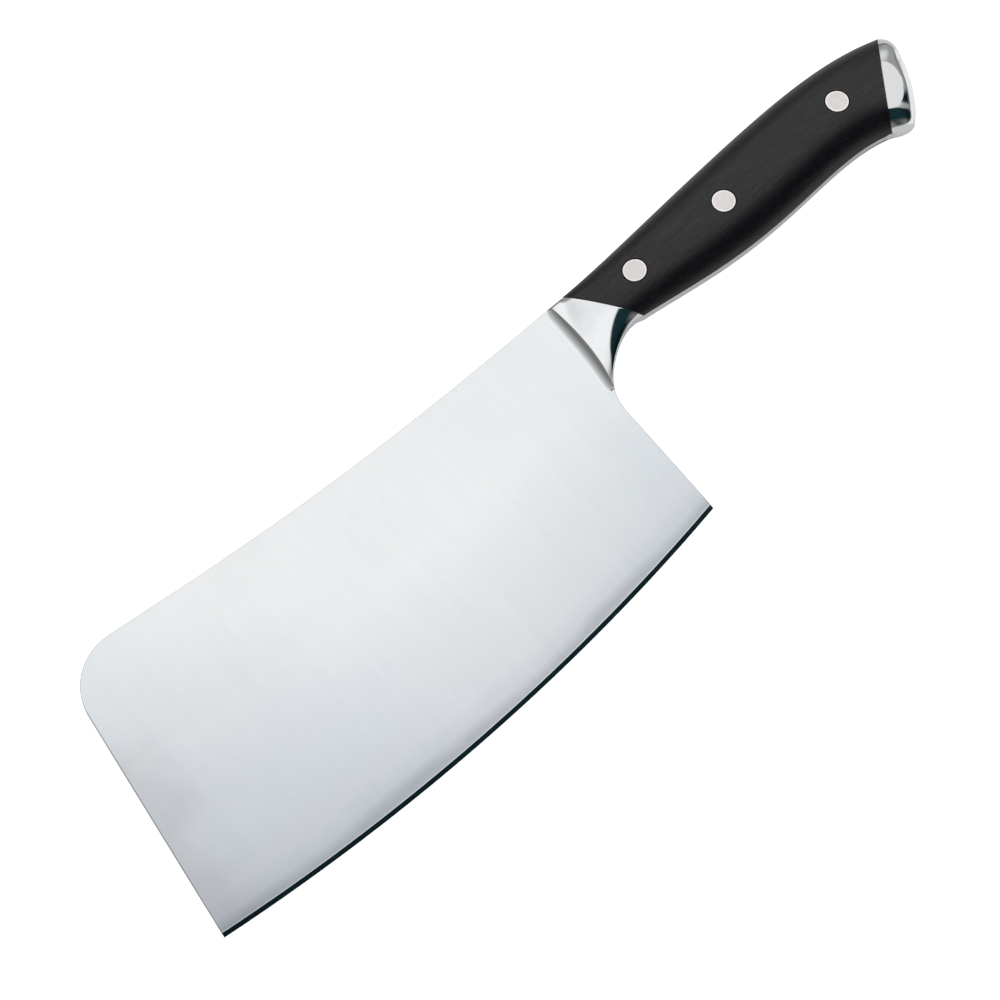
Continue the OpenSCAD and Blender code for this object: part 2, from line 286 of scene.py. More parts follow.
def triangulate(outer, holes, fill):
    """Triangles over the area inside the outer loop and outside the holes."""
    loops = [np.asarray(outer, float)] + [np.asarray(h, float) for h in holes]
    pts = np.concatenate(loops + [np.asarray(fill, float).reshape(-1, 2)])
    edges, k = [], 0
    for loop in loops:
        n = len(loop)
        edges += [(k + i, k + (i + 1) % n) for i in range(n)]
        k += n
    out = delaunay_2d_cdt([Vector(p) for p in pts.tolist()], edges, [], 0, 1e-9)
    co = np.array([tuple(v) for v in out[0]])
    tris = np.array([tuple(t) for t in out[2]])
    mid = co[tris].mean(axis=1)
    keep = inside(mid, loops[0])
    for h in loops[1:]:
        keep &= ~inside(mid, h)
    # along a straight side the hull adds slivers between points of one line
    a, b, c = co[tris[:, 0]], co[tris[:, 1]], co[tris[:, 2]]
    doubled = (b[:, 0] - a[:, 0]) * (c[:, 1] - a[:, 1]) - (b[:, 1] - a[:, 1]) * (c[:, 0] - a[:, 0])
    keep &= np.abs(doubled) > SLIVER
    order = [o[0] if o else -1 for o in out[3]]
    return co, tris[keep], order


def circle(centre, radius, n):
    a = np.linspace(0, 2 * np.pi, n, endpoint=False)
    return np.stack([centre[0] + radius * np.cos(a), centre[1] + radius * np.sin(a)], -1)


def away(points, loops, gap):
    """The points that lie farther than gap from every point of every loop."""
    keep = np.ones(len(points), bool)
    for loop in loops:
        for start in range(0, len(points), 4000):
            part = points[start:start + 4000]
            d = np.min(np.hypot(part[:, None, 0] - loop[None, :, 0],
                                part[:, None, 1] - loop[None, :, 1]), axis=1)
            keep[start:start + 4000] &= d > gap
    return points[keep]


# ------------------------------------------------------------------ blade and tang

def densify(points, step):
    """The same line of points with none farther apart than step."""
    out = []
    for a, b in zip(points, points[1:]):
        n = max(1, int(math.ceil(np.hypot(*(np.subtract(b, a))) / step)))
        out += [np.asarray(a) + (np.subtract(b, a)) * i / n for i in range(n)]
    return out + [np.asarray(points[-1], float)]


OUTLINE_STEP = 1.5       # greatest distance between points along a straight side
MESH_STEP = 1.6          # distance between the points that fill the blade's faces
MESH_CLEAR = 0.75        # distance kept between those points and the outlines
SAME_POINT = 1e-3        # points closer than this are one
STRAIGHT_ON = 0.97       # cosine of the greatest turn that isn't a corner


def blade_outline():
    """Closed outline, the width of the chamfer along each of its sides, and which points are tang."""
    spine_end = meet(spine, SEAM_BASE, REAR_SLANT, 118.0)
    belly_end = meet(belly, SEAM_BASE, REAR_SLANT, 103.0)
    nose_x = front_x(-5.0) + NOSE_R * LEAN_STRETCH
    nose_y = float(blade_top(nose_x)) - NOSE_R * 1.003
    nose_cx = front_x(nose_y) + NOSE_R * LEAN_STRETCH
    xs = np.linspace(spine_end, 0, 90)
    parts = [(np.stack([xs, spine(xs)], -1), TANG_EDGE)]
    # the upper outline stops short of the corner's arc, so that the two never overlap
    xs = np.linspace(0, nose_cx + 1.6, 110)
    parts.append((np.stack([xs, blade_top(xs)], -1), SOFT_EDGE))
    a = np.radians(np.linspace(86, 171, 40))
    nose = np.stack([nose_cx + NOSE_R * np.cos(a), nose_y + NOSE_R * np.sin(a)], -1)
    parts.append((nose, SOFT_EDGE))
    corner = np.array([-BLADE_LENGTH, TIP_Y])
    along = np.array([LEAN, 1.0]) / math.hypot(LEAN, 1)
    above = corner + along * BEVEL_W * 1.01
    parts.append((np.array(densify([nose[-1], above], OUTLINE_STEP)), SOFT_EDGE))
    heel_y = -70.0
    for _ in range(20):    # settles on the point where the rear edge meets the arc
        heel_y = EDGE_CY - math.sqrt(EDGE_R ** 2 - (heel_x(heel_y) - EDGE_CX) ** 2)
    xs = np.linspace(-BLADE_LENGTH, heel_x(heel_y), 150)
    parts.append((np.stack([xs, EDGE_CY - np.sqrt(EDGE_R ** 2 - (xs - EDGE_CX) ** 2)], -1), BEVEL_W))
    heel = np.array([heel_x(heel_y), heel_y])
    up = np.array([HEEL_LEAN, 1.0]) / math.hypot(HEEL_LEAN, 1)
    parts.append((np.array(densify([heel + up * BEVEL_W * 1.01, CHOIL[0]], OUTLINE_STEP)), SOFT_EDGE))
    t = np.linspace(0, 1, 60)
    parts.append((plan_curve(CHOIL, t), SOFT_EDGE))
    xs = np.linspace(CHOIL_END[0], belly_end, 80)
    parts.append((np.stack([xs, belly(xs)], -1), TANG_EDGE))
    end = np.array([[belly_end, belly(np.float64(belly_end))], [spine_end, spine(np.float64(spine_end))]])
    parts.append((np.array(densify(end, OUTLINE_STEP)), TANG_EDGE))
    pts, width = [], []
    for rows, c in parts:
        for p in rows:
            if pts and np.hypot(*(p - pts[-1])) < SAME_POINT:
                continue
            if pts:
                width.append(c)
            pts.append(p)
    if np.hypot(*(pts[0] - pts[-1])) < SAME_POINT:
        pts.pop()
    else:
        width.append(TANG_EDGE)
    pts, width = np.array(pts), np.array(width)
    x = pts[:, 0]
    tang = (x > 1.0) | ((x > -2.0) & (pts[:, 1] > -20) & (pts[:, 1] < 5))
    return pts, width[:len(pts)], tang


def build_blade():
    """The plate: both faces inside the chamfer, the chamfer, its rim and the rivets' bores."""
    pts, width, tang = blade_outline()
    n = len(pts)
    step = np.roll(pts, -1, 0) - pts
    normal = np.stack([-step[:, 1], step[:, 0]], -1)
    normal /= np.linalg.norm(normal, axis=1)[:, None]
    area = np.sum(pts[:, 0] * np.roll(pts[:, 1], -1) - np.roll(pts[:, 0], -1) * pts[:, 1])
    if area < 0:
        normal = -normal
    inner = np.zeros_like(pts)
    for i in range(n):
        n0, n1 = normal[i - 1], normal[i]
        c0, c1 = width[i - 1], width[i]
        if n0 @ n1 < STRAIGHT_ON:
            inner[i] = pts[i] + np.linalg.solve(np.array([n0, n1]), np.array([c0, c1]))
        else:
            inner[i] = pts[i] + (n0 + n1) / (1 + n0 @ n1) * min(c0, c1)
    # the end of the bevel: the point above each lower corner shares the corner's inner point
    share = {}
    for i in range(n):
        j = (i + 1) % n
        if abs(width[i] - BEVEL_W) < 1e-6 and abs(width[i - 1] - BEVEL_W) > 1e-6:
            share[i - 1 if i else n - 1] = i
        if abs(width[i] - BEVEL_W) > 1e-6 and abs(width[i - 1] - BEVEL_W) < 1e-6:
            share[j] = i
    for a, b in share.items():
        inner[a] = inner[b]
    keep = [i for i in range(n) if i not in share]
    slot_of = {i: k for k, i in enumerate(keep)}
    for a, b in share.items():
        slot_of[a] = slot_of[b]
    loop = inner[keep]
    holes = [circle(c, BARREL_R + BARREL_GAP, 32) for c in RIVETS.values()]
    gx, gy = np.meshgrid(np.arange(-176, 124, MESH_STEP), np.arange(-74, 16, MESH_STEP))
    fill = np.stack([gx.ravel(), gy.ravel()], -1)
    fill = fill[inside(fill, loop)]
    dense = np.array(densify(list(loop) + [loop[0]], 0.6))
    fill = away(fill, [dense] + holes, MESH_CLEAR)
    co, tris, order = triangulate(loop, holes, fill)
    place = {o: k for k, o in enumerate(order) if o >= 0}
    m = len(co)
    zh = plate_half(co[:, 0], co[:, 1])
    top = np.column_stack([co, zh])
    verts = [top, mirrored(top)]
    ease = np.where(tang, TANG_EDGE, BLADE_EASE)
    zo = np.maximum(0, plate_half(pts[:, 0], pts[:, 1]) - ease)
    zo[zo < 0.02] = 0
    rim = np.column_stack([pts, zo])
    verts += [rim, mirrored(rim)]
    faces = [tuple(t) for t in tris.tolist()] + [tuple(m + k for k in reversed(t)) for t in tris.tolist()]
    base = 2 * m
    for i in range(n):
        j = (i + 1) % n
        a, b = place[slot_of[i]], place[slot_of[j]]
        for off, ring, flip in ((0, base, False), (m, base + n, True)):
            quad = [ring + i, ring + j, off + b, off + a]
            if a == b:
                quad = quad[:3]
            faces.append(tuple(reversed(quad)) if flip else tuple(quad))
        faces.append((base + i, base + n + i, base + n + j, base + j))
    k = len(loop)
    for h in holes:
        ring = [place[k + i] for i in range(len(h))]
        k += len(h)
        faces += [(ring[i], ring[(i + 1) % len(ring)], m + ring[(i + 1) % len(ring)], m + ring[i])
                  for i in range(len(ring))]
    return finish_mesh("blade_body", np.concatenate(verts), faces, "blade", 8)


# ------------------------------------------------------------------ bolsters

def corner_blend(a, b, c, d, u, v):
    """Bilinear patch over four corners."""
    a, b, c, d = (np.asarray(k, float) for k in (a, b, c, d))
    u, v = u[..., None], v[..., None]
    return a * (1 - u) * (1 - v) + b * u * (1 - v) + c * u * v + d * (1 - u) * v


JOINT_BELLY = on_joint(front_joint, 17, np.array(0.0), TANG)[:2]
JOINT_SPINE = on_joint(front_joint, 4, np.array(1.0), TANG)[:2]
JOINT_TAIL = plan_curve(CHOIL, np.float64(CHOIL_TAIL))
RIDGE = [list(JOINT_TAIL), [-0.6, -13.5], [0.6, -6], [0, 8.34]]
RIDGE_WHEEL = 4.2      # radius of the hollow in front of the ridge
SHOULDER = 1.25        # height of the ground sides at the ridge
LIP = 0.14             # depth of the rounded edge at a joint
HOLLOW_TURN = 18       # how far, in degrees, the hollow's lower end turns down


def cheek(u, f):
    """Face of the bolster: u from ridge to joint, f from belly to spine."""
    u = np.full(np.shape(f), float(u))
    w = -np.cos(np.pi * f)
    v = (1 + w) / 2
    j = on_joint(front_joint, 10, f, TANG)
    sx = JOINT_SPINE[0] * u
    c1 = np.stack([sx, spine(sx)], -1)
    c0 = plan_curve(CHOIL, CHOIL_TAIL + (1 - CHOIL_TAIL) * u)
    p = (c0 * (1 - v)[..., None] + c1 * v[..., None] + plan_curve(RIDGE, v) * (1 - u)[..., None]
         + j[..., :2] * u[..., None]
         - corner_blend(JOINT_TAIL, JOINT_BELLY, JOINT_SPINE, [0, float(spine(np.float64(0.0)))], u, v))
    # the ground sides stand up steeply from the tang near the ridge and fade out at the joint
    side = SHOULDER * math.sqrt(1 - float(u[0])) * np.sqrt(1 - np.abs(w) ** np.where(w < 0, 8, 14))
    rise = oval(p[..., 0], w) - TANG
    z = TANG + (rise ** 4 + side ** 4) ** 0.25
    z[[0, -1]] = TANG
    return np.column_stack([p, z])


def hollow(k, f):
    """The hollow in front of the ridge: k from its foot to the ridge."""
    p = cheek(0, f)
    rise = p[:, 2] - TANG
    full = np.arccos(np.clip(1 - rise / RIDGE_WHEEL, -1, 1))
    a = full * k
    back = RIDGE_WHEEL * (np.sin(full) - np.sin(a))
    v = (1 - np.cos(np.pi * f)) / 2
    lean = np.radians(HOLLOW_TURN * (1 - v) ** 3)
    out = np.column_stack([p[:, 0] - back * np.cos(lean), p[:, 1] + back * np.sin(lean) * 0.4,
                           TANG + RIDGE_WHEEL * (1 - np.cos(a))])
    out[[0, -1]] = p[[0, -1]]
    return out


def bolster_rows():
    """Rows of points from the foot of the hollow over the ridge and down the joint."""
    f = np.linspace(0, 1, 121)
    rows = [hollow(k, f) for k in np.linspace(0, 0.95, 18)]
    rows += rounded(hollow(0.95, f), cheek(0, f), cheek(0.018, f), 4)[1:]
    rows += [cheek(u, f) for u in np.linspace(0.018, 0.99, 46)[1:]]
    edge = cheek(1, f)
    lip = np.minimum(LIP, 0.5 * (edge[:, 2] - TANG))
    below = edge - np.column_stack([0 * lip, 0 * lip, lip])
    rows += rounded(cheek(0.99, f), edge, below, 3)[1:]
    foot = edge.copy()
    foot[:, 2] = TANG
    return rows + [foot]


def build_bolster(side):
    rows = bolster_rows()
    cols = len(rows[0])
    verts = np.concatenate(rows)
    faces = grid_faces(len(rows), cols)
    last = (len(rows) - 1) * cols
    # the flat underside is one face that runs round the border of the rows
    under = list(range(cols)) + [i * cols + cols - 1 for i in range(1, len(rows))]
    under += [last + j for j in range(cols - 2, -1, -1)] + [i * cols for i in range(len(rows) - 2, 0, -1)]
    clean = []
    for k in under:
        if not clean or np.linalg.norm(verts[k] - verts[clean[-1]]) > 1e-4:
            clean.append(k)
    faces.append(tuple(clean))
    if side == "right":
        verts = mirrored(verts)
    return finish_mesh(f"{side}_bolster_body", verts, faces, f"{side}_bolster", 14)


# ------------------------------------------------------------------ end cap

CAP_BELLY = on_joint(rear_joint, 103, np.array(0.0), 0.0)[:2]
CAP_SPINE = on_joint(rear_joint, 121, np.array(1.0), 0.0)[:2]
CAP_BEAK = [list(CAP_BELLY), [106.9, -13.6], [108.9, -14.4], CAP_END[0]]
CAP_TIP = [list(CAP_SPINE), [121.7, 11.6], [122.1, 11.2], CAP_END[3]]
LENS_TOP, LENS_LOW = 4.0, -7.6     # where the border of the ground flat meets the joint
LENS_OUT = (117.4, 0.1, 5.6)       # farthest point of the flat
LENS_REACH = 0.60                  # the same as a share of the way to the butt
RIM_SLOPE = math.sin(math.radians(35))
RIM_FADE = 7.0                     # how far past the flat's ends the rim's start eases off
BUTT_LIMIT = 123.5


def cap_plan(q, f):
    """Plan position over the cap: q from the joint to the butt end, f from belly to spine."""
    v = (1 - np.cos(np.pi * f)) / 2
    j = on_joint(rear_joint, 112, f, 0.0)
    p = (plan_curve(CAP_BEAK, q) * (1 - v)[:, None] + plan_curve(CAP_TIP, q) * v[:, None]
         + j[:, :2] * (1 - q)[:, None] + plan_curve(CAP_END, v) * q[:, None]
         - corner_blend(CAP_BEAK[0], CAP_END[0], CAP_END[3], CAP_TIP[0], q, v))
    return np.minimum(p[:, 0], BUTT_LIMIT), p[:, 1], j[:, 2]


def lens_border(f):
    """How far the flat reaches at each fraction f, as a fraction of the way to the butt."""
    y = cap_plan(0 * f, f)[1]
    mid, wide = (LENS_TOP + LENS_LOW) / 2, (LENS_TOP - LENS_LOW) / 2
    u = np.clip(np.abs(y - mid) / wide, 0, 1)
    return LENS_REACH * np.sqrt(1 - u ** 2.2)


def cap_surface(part, f):
    """One row over the cap: part 0 to 1 lies on the flat, 1 to 2 on the rolled rim."""
    far = lens_border(f)
    t = max(0.0, part - 1)
    q = far * min(1.0, part) + (1 - far) * t
    x, y, z_joint = cap_plan(q, f)
    xb, yb, _ = cap_plan(far, f)
    xj, yj, zj = cap_plan(0 * f, f)
    # the flat lies in the plane through its two corners on the joint and its farthest point
    corners = [tuple(np.interp(level, yj, row) for row in (xj, yj, zj))
               for level in (LENS_TOP, LENS_LOW)]
    tilt = np.linalg.solve(np.array([[a, b, 1] for a, b, _ in corners + [LENS_OUT]]),
                           np.array([c for _, _, c in corners + [LENS_OUT]]))
    flat = np.minimum(tilt[0] * x + tilt[1] * y + tilt[2], z_joint)
    start = np.where(far > 0, np.minimum(tilt[0] * xb + tilt[1] * yb + tilt[2], z_joint), z_joint)
    off = np.maximum(yj - LENS_TOP, LENS_LOW - yj) / RIM_FADE
    fade = 0.5 - 0.5 * np.sin(np.pi / 2 * np.clip(2 * off - 0.35, -1, 1))
    steep = RIM_SLOPE * np.clip(fade, 0.02, 1)
    full = 3.4 - 1.4 * fade
    roll = np.sqrt(np.maximum(0, 1 - (steep + (1 - steep) * t) ** full)) / np.sqrt(1 - steep ** full)
    z = flat if part <= 1 else start * roll
    band = TANG * np.clip(1 - q / 0.35, 0, 1) ** 2     # flat edge band near the joint
    return np.column_stack([x, y, np.maximum(z, band)])


def seam_line(base, f, z):
    """Line across the tang at a slanted joint, at one level."""
    x = np.full(np.shape(f), 112.0)
    for _ in range(ROUNDS):
        y = middle(x) - np.cos(np.pi * f) * reach(x)
        x = base + REAR_SLANT * y
    return np.column_stack([x, y, np.full(len(f), z)])


def build_cap():
    f = np.linspace(0, 1, 145)
    rows = [seam_line(SEAM_BASE, f, TANG), seam_line(REAR_BASE, f, TANG)]
    edge = cap_surface(0.0, f)
    lip = np.minimum(LIP, 0.5 * (edge[:, 2] - TANG))
    below = edge - np.column_stack([0 * lip, 0 * lip, lip])
    rows += [below, edge]
    rows += [cap_surface(t, f) for t in np.linspace(0, 1, 15)[1:]]
    rows += [cap_surface(1 + t, f) for t in np.sin(np.linspace(0.02, math.pi / 2, 44))]
    verts = np.concatenate(rows)
    cols, count = len(f), len(rows)
    size = len(verts)
    faces = grid_faces(count, cols)
    faces += [tuple(size + k for k in reversed(quad)) for quad in faces]
    faces += [(j, size + j, size + j + 1, j + 1) for j in range(cols - 1)]
    for i in range(count - 1):
        a, b = i * cols, (i + 1) * cols
        faces.append((a, b, size + b, size + a))
        a, b = a + cols - 1, b + cols - 1
        faces.append((b, a, size + a, size + b))
    verts = np.concatenate([verts, mirrored(verts)])
    return finish_mesh("end_cap_body", verts, faces, "end_cap", 16)


# ------------------------------------------------------------------ scales

def to_parameters(x, y):
    """(s, f) of the point of the scale's surface above (x, y)."""
    z = grip_z(x, y)
    f = np.arccos(np.clip(-(y - middle(x)) / reach(x) / share_at(x, FILM_Z), -1, 1)) / np.pi
    p = np.stack([x, y, z], -1)
    lo, hi = front_joint(p) + END_GAP, rear_joint(p) - END_GAP
    return (x - lo) / (hi - lo), f


SPAN_S, SPAN_F = 103.0, 34.0     # size in mm of the scale rolled out flat
WORN = 0.10                      # how far the scale's edge dips at the steel


def build_scale(side):
    nf, ns = 96, 190
    fs = np.linspace(0, 1, nf + 1)
    ease = [0.0, 0.0006, 0.0014, 0.003]
    ss = np.concatenate([ease, np.linspace(0.008, 0.992, ns), [1 - e for e in reversed(ease)]])
    outer = [(s, 0.0) for s in ss] + [(1.0, f) for f in fs[1:]]
    outer += [(s, 1.0) for s in ss[-2::-1]] + [(0.0, f) for f in fs[-2:0:-1]]
    holes = []
    for c in RIVETS.values():
        ring = circle(c, HEAD_R + HEAD_GAP, 72)
        holes.append(np.stack(to_parameters(ring[:, 0], ring[:, 1]), -1))
    scale = np.array([SPAN_S, SPAN_F])
    gs, gf = np.meshgrid(ss[1:-1], fs[1:-1])
    fill = np.stack([gs.ravel(), gf.ravel()], -1) * scale
    fill = away(fill, [h * scale for h in holes], 0.28)
    fill = fill[~np.any([inside(fill, h * scale) for h in holes], axis=0)]
    co, tris, order = triangulate(np.array(outer) * scale, [h * scale for h in holes], fill)
    place = {o: k for k, o in enumerate(order) if o >= 0}
    s, f = co[:, 0] / SPAN_S, co[:, 1] / SPAN_F
    top = scale_point(s, f)
    edge = (f < 1e-9) | (f > 1 - 1e-9)
    top[edge, 2] = FILM_Z
    # worn edges: at both joints the surface dips slightly, but never down to the glue line
    for end in (s * SPAN_S, (1 - s) * SPAN_S):
        dip = WORN * np.clip(1 - end / 0.30, 0, 1) ** 2
        rise = top[:, 2] - FILM_Z
        top[:, 2] = FILM_Z + np.maximum(0.25 * rise, rise - dip)
    low = top.copy()
    # the ends follow the slanted walls of the bolster and the cap down to the glue line
    draft = FRONT_DRAFT * np.clip(1 - s / 0.06, 0, 1) + REAR_DRAFT * np.clip(1 - (1 - s) / 0.08, 0, 1)
    low[:, 0] -= draft * (top[:, 2] - FILM_Z)
    low[:, 2] = FILM_Z
    m = len(top)
    faces = [tuple(t) for t in tris.tolist()]
    under = {k: (k if edge[k] else m + k) for k in range(m)}
    faces += [tuple(under[k] for k in reversed(t)) for t in tris.tolist()]
    k = 0
    for ring in [outer] + holes:
        ids = [place[k + i] for i in range(len(ring))]
        k += len(ring)
        for a, b in zip(ids, ids[1:] + ids[:1]):
            quad = [a, b, under[b], under[a]]
            quad = [q for i, q in enumerate(quad) if q not in quad[:i]]
            if len(quad) > 2:
                faces.append(tuple(quad))
    verts = np.concatenate([top, low])
    used = sorted({q for face in faces for q in face})
    number = {q: i for i, q in enumerate(used)}
    verts = verts[used]
    faces = [tuple(number[q] for q in face) for face in faces]
    if side == "right":
        verts = mirrored(verts)
    return finish_mesh(f"{side}_scale_body", verts, faces, f"{side}_scale", 25)


# ------------------------------------------------------------------ rivets

def build_rivet(place_name, kind):
    """A headed pin, or the headed barrel on the other side; the head follows the scale."""
    centre = RIVETS[place_name]
    n = 72
    # each ring: radius, height (None follows the scale's surface) and lift above it
    rings = [(r, None, 0.015) for r in (0.0, 0.6, 1.2, 1.8, 2.3, 2.7, 2.92, 3.04)]
    rings += [(3.13, None, 0.0), (3.20, None, -0.07), (3.24, None, -0.18), (3.24, SEAT_Z, 0)]
    if kind == "pin":
        end = 0.9 - SEAT_Z
        rings += [(PIN_R, SEAT_Z, 0), (PIN_R, end + 0.2, 0), (PIN_R - 0.2, end, 0), (0, end, 0)]
    else:
        end, bottom, bore = 0.5 - SEAT_Z, SEAT_Z - 0.6, PIN_R + 0.02
        rings += [(BARREL_R, SEAT_Z, 0), (BARREL_R, end, 0)]
        rings += [(bore, end, 0), (bore, bottom, 0), (0, bottom, 0)]
    verts = []
    for r, z, lift in rings:
        ring = circle(centre, max(r, 1e-6), n)
        height = grip_z(ring[:, 0], ring[:, 1]) + lift if z is None else np.full(n, z)
        verts.append(np.column_stack([ring, height]))
    faces = []
    for i in range(len(rings) - 1):
        for j in range(n):
            k = (j + 1) % n
            faces.append((i * n + j, i * n + k, (i + 1) * n + k, (i + 1) * n + j))
    verts = np.concatenate(verts)
    if kind == "barrel":
        verts = mirrored(verts)
    name = f"{place_name}_rivet_{kind}"
    return finish_mesh(f"{name}_body", verts, faces, name, 24)


# ------------------------------------------------------------------ materials

def add(tree, kind, sockets=None, **props):
    """A node with its sockets set or linked."""
    made = tree.nodes.new(kind)
    for key, value in props.items():
        setattr(made, key, value)
    for key, value in (sockets or {}).items():
        if isinstance(value, bpy.types.NodeSocket):
            tree.links.new(value, made.inputs[key])
        else:
            made.inputs[key].default_value = value
    return made


def new_material(name):
    mat = bpy.data.materials.new(name)
    mat.use_nodes = True
    mat.node_tree.nodes.clear()
    tree = mat.node_tree
    out = tree.nodes.new("ShaderNodeOutputMaterial")
    bsdf = tree.nodes.new("ShaderNodeBsdfPrincipled")
    tree.links.new(bsdf.outputs[0], out.inputs[0])
    where = tree.nodes.new("ShaderNodeTexCoord").outputs["Object"]
    return mat, tree, bsdf, where


def stretched(tree, where, size, detail=3.0, rough=0.6, turn=(0, 0, 0)):
    """Noise whose features have the given size in mm along x, y and z."""
    mapping = add(tree, "ShaderNodeMapping", {"Vector": where, "Rotation": turn,
                  "Scale": [1 / (s * MM) for s in size]})
    return add(tree, "ShaderNodeTexNoise", {"Vector": mapping.outputs[0], "Scale": 1.0,
               "Detail": detail, "Roughness": rough}).outputs["Fac"]


def ranged(tree, value, lo, hi, a=0.0, b=1.0):
    """The value carried from the range a to b over to the range lo to hi, and held there."""
    return add(tree, "ShaderNodeMapRange", {"Value": value, "From Min": a, "From Max": b,
               "To Min": lo, "To Max": hi}).outputs["Result"]


def tint(tree, value, stops):
    """Colour ramp with (position, colour) stops."""
    ramp = add(tree, "ShaderNodeValToRGB", {"Fac": value})
    els = ramp.color_ramp.elements
    while len(els) < len(stops):
        els.new(0.5)
    for el, (pos, col) in zip(els, stops):
        el.position, el.color = pos, (*col, 1)
    return ramp.outputs["Color"]


def maths(tree, op, a, b=0.0, clamp=False):
    made = add(tree, "ShaderNodeMath", operation=op, use_clamp=clamp)
    for k, v in enumerate((a, b)):
        if isinstance(v, bpy.types.NodeSocket):
            tree.links.new(v, made.inputs[k])
        else:
            made.inputs[k].default_value = v
    return made.outputs[0]


def blended(tree, colour, factor):
    """A colour multiplied by a grey factor."""
    mix = add(tree, "ShaderNodeVectorMath", operation="MULTIPLY")
    tree.links.new(colour, mix.inputs[0])
    tree.links.new(factor, mix.inputs[1])
    return mix.outputs[0]


def satin_steel():
    """The blade: fine lines across it, clouds, painted shade that darkens it towards the front and the
    edge, and a painted highlight along the top of the bevel.
    """
    mat, tree, bsdf, where = new_material("satin_blade_steel")
    fine = stretched(tree, where, (0.20, 9.0, 9.0), 4, 0.7)
    broad = stretched(tree, where, (2.2, 30.0, 20.0), 3, 0.6)
    cloud = stretched(tree, where, (30.0, 22.0, 20.0), 3, 0.5)
    mixed = maths(tree, "ADD", maths(tree, "MULTIPLY", fine, 0.7), maths(tree, "MULTIPLY", broad, 0.3))
    base = tint(tree, mixed, [(0.30, (0.775, 0.78, 0.785)), (0.50, (0.822, 0.825, 0.828)),
                              (0.70, (0.85, 0.852, 0.853))])
    # painted shade: the base colour darkens towards the front and towards the cutting edge, standing in for
    # the light falling off there
    axes = add(tree, "ShaderNodeSeparateXYZ", {"Vector": where}).outputs
    along = maths(tree, "ADD", axes["X"], ranged(tree, cloud, -0.007, 0.007, 0.3, 0.7))
    along = maths(tree, "ADD", along, ranged(tree, axes["Y"], 0.0, 0.030, 0.010, 0.034))
    front = tint(tree, ranged(tree, along, 0.0, 1.0, -0.150, 0.020), [
        (0.0, (0.66, 0.69, 0.71)), (0.06, (0.68, 0.70, 0.72)), (0.12, (0.77, 0.80, 0.825)),
        (0.18, (0.81, 0.84, 0.86)), (0.27, (0.84, 0.87, 0.89)), (0.36, (0.88, 0.91, 0.93)),
        (0.48, (0.94, 0.96, 0.97)), (0.65, (0.965, 0.985, 0.985)), (1.0, (0.92, 0.95, 0.96))])
    centre = ((EDGE_CX + ORIGIN[0]) * MM, (EDGE_CY + ORIGIN[1]) * MM, 0.0)
    plan = add(tree, "ShaderNodeVectorMath", {0: where, 1: (1, 1, 0)}, operation="MULTIPLY").outputs[0]
    radius = add(tree, "ShaderNodeVectorMath", {0: plan, 1: centre}, operation="DISTANCE").outputs["Value"]
    inward = maths(tree, "SUBTRACT", EDGE_R * MM, radius)
    wavy = maths(tree, "ADD", inward, ranged(tree, cloud, -0.0012, 0.0012, 0.3, 0.7))
    # painted shade towards the cutting edge: the base colour darkens over the ground band, most of all on
    # the bevel
    lower = tint(tree, ranged(tree, wavy, 0.0, 1.0, 0.0, 0.110), [
        (0.018, (0.52, 0.53, 0.55)), (0.045, (0.70, 0.71, 0.735)), (0.09, (0.78, 0.78, 0.80)),
        (0.18, (0.82, 0.825, 0.84)), (0.29, (0.87, 0.87, 0.885)), (0.45, (0.955, 0.95, 0.95)),
        (1.0, (1, 1, 1))])
    tone = add(tree, "ShaderNodeVectorMath", {0: blended(tree, front, lower), 1: (1.1, 1.1, 1.1)},
               operation="MULTIPLY").outputs[0]
    tone = add(tree, "ShaderNodeVectorMath", {0: tone, 1: (1, 1, 1)}, operation="MINIMUM").outputs[0]
    # painted highlight: a thin bright line along the top of the bevel, which brightens the base colour
    # there
    from_line = maths(tree, "ABSOLUTE", maths(tree, "SUBTRACT", inward, (BEVEL_W + 0.12) * MM))
    bright = ranged(tree, from_line, 1.5, 1.0, 0.0, 0.00022)
    shade = blended(tree, blended(tree, base, tone), bright)
    tree.links.new(shade, bsdf.inputs["Base Color"])
    rough = maths(tree, "ADD", ranged(tree, fine, 0.19, 0.27, 0.3, 0.7),
                  ranged(tree, cloud, -0.02, 0.03, 0.3, 0.7))
    ground = ranged(tree, inward, 0.35, 1.0, (BEVEL_W - 0.1) * MM, (BEVEL_W + 0.1) * MM)
    tree.links.new(maths(tree, "MULTIPLY", rough, ground), bsdf.inputs["Roughness"])
    calm = maths(tree, "MULTIPLY", fine, ranged(tree, axes["X"], 1.0, 0.1, 0.022, 0.026))
    bump = add(tree, "ShaderNodeBump", {"Height": calm, "Strength": 0.22, "Distance": 0.000006})
    bump2 = add(tree, "ShaderNodeBump", {"Height": broad, "Strength": 0.35, "Distance": 0.000008,
                "Normal": bump.outputs[0]})
    tree.links.new(bump2.outputs[0], bsdf.inputs["Normal"])
    bsdf.inputs["Metallic"].default_value = 1.0
    return mat


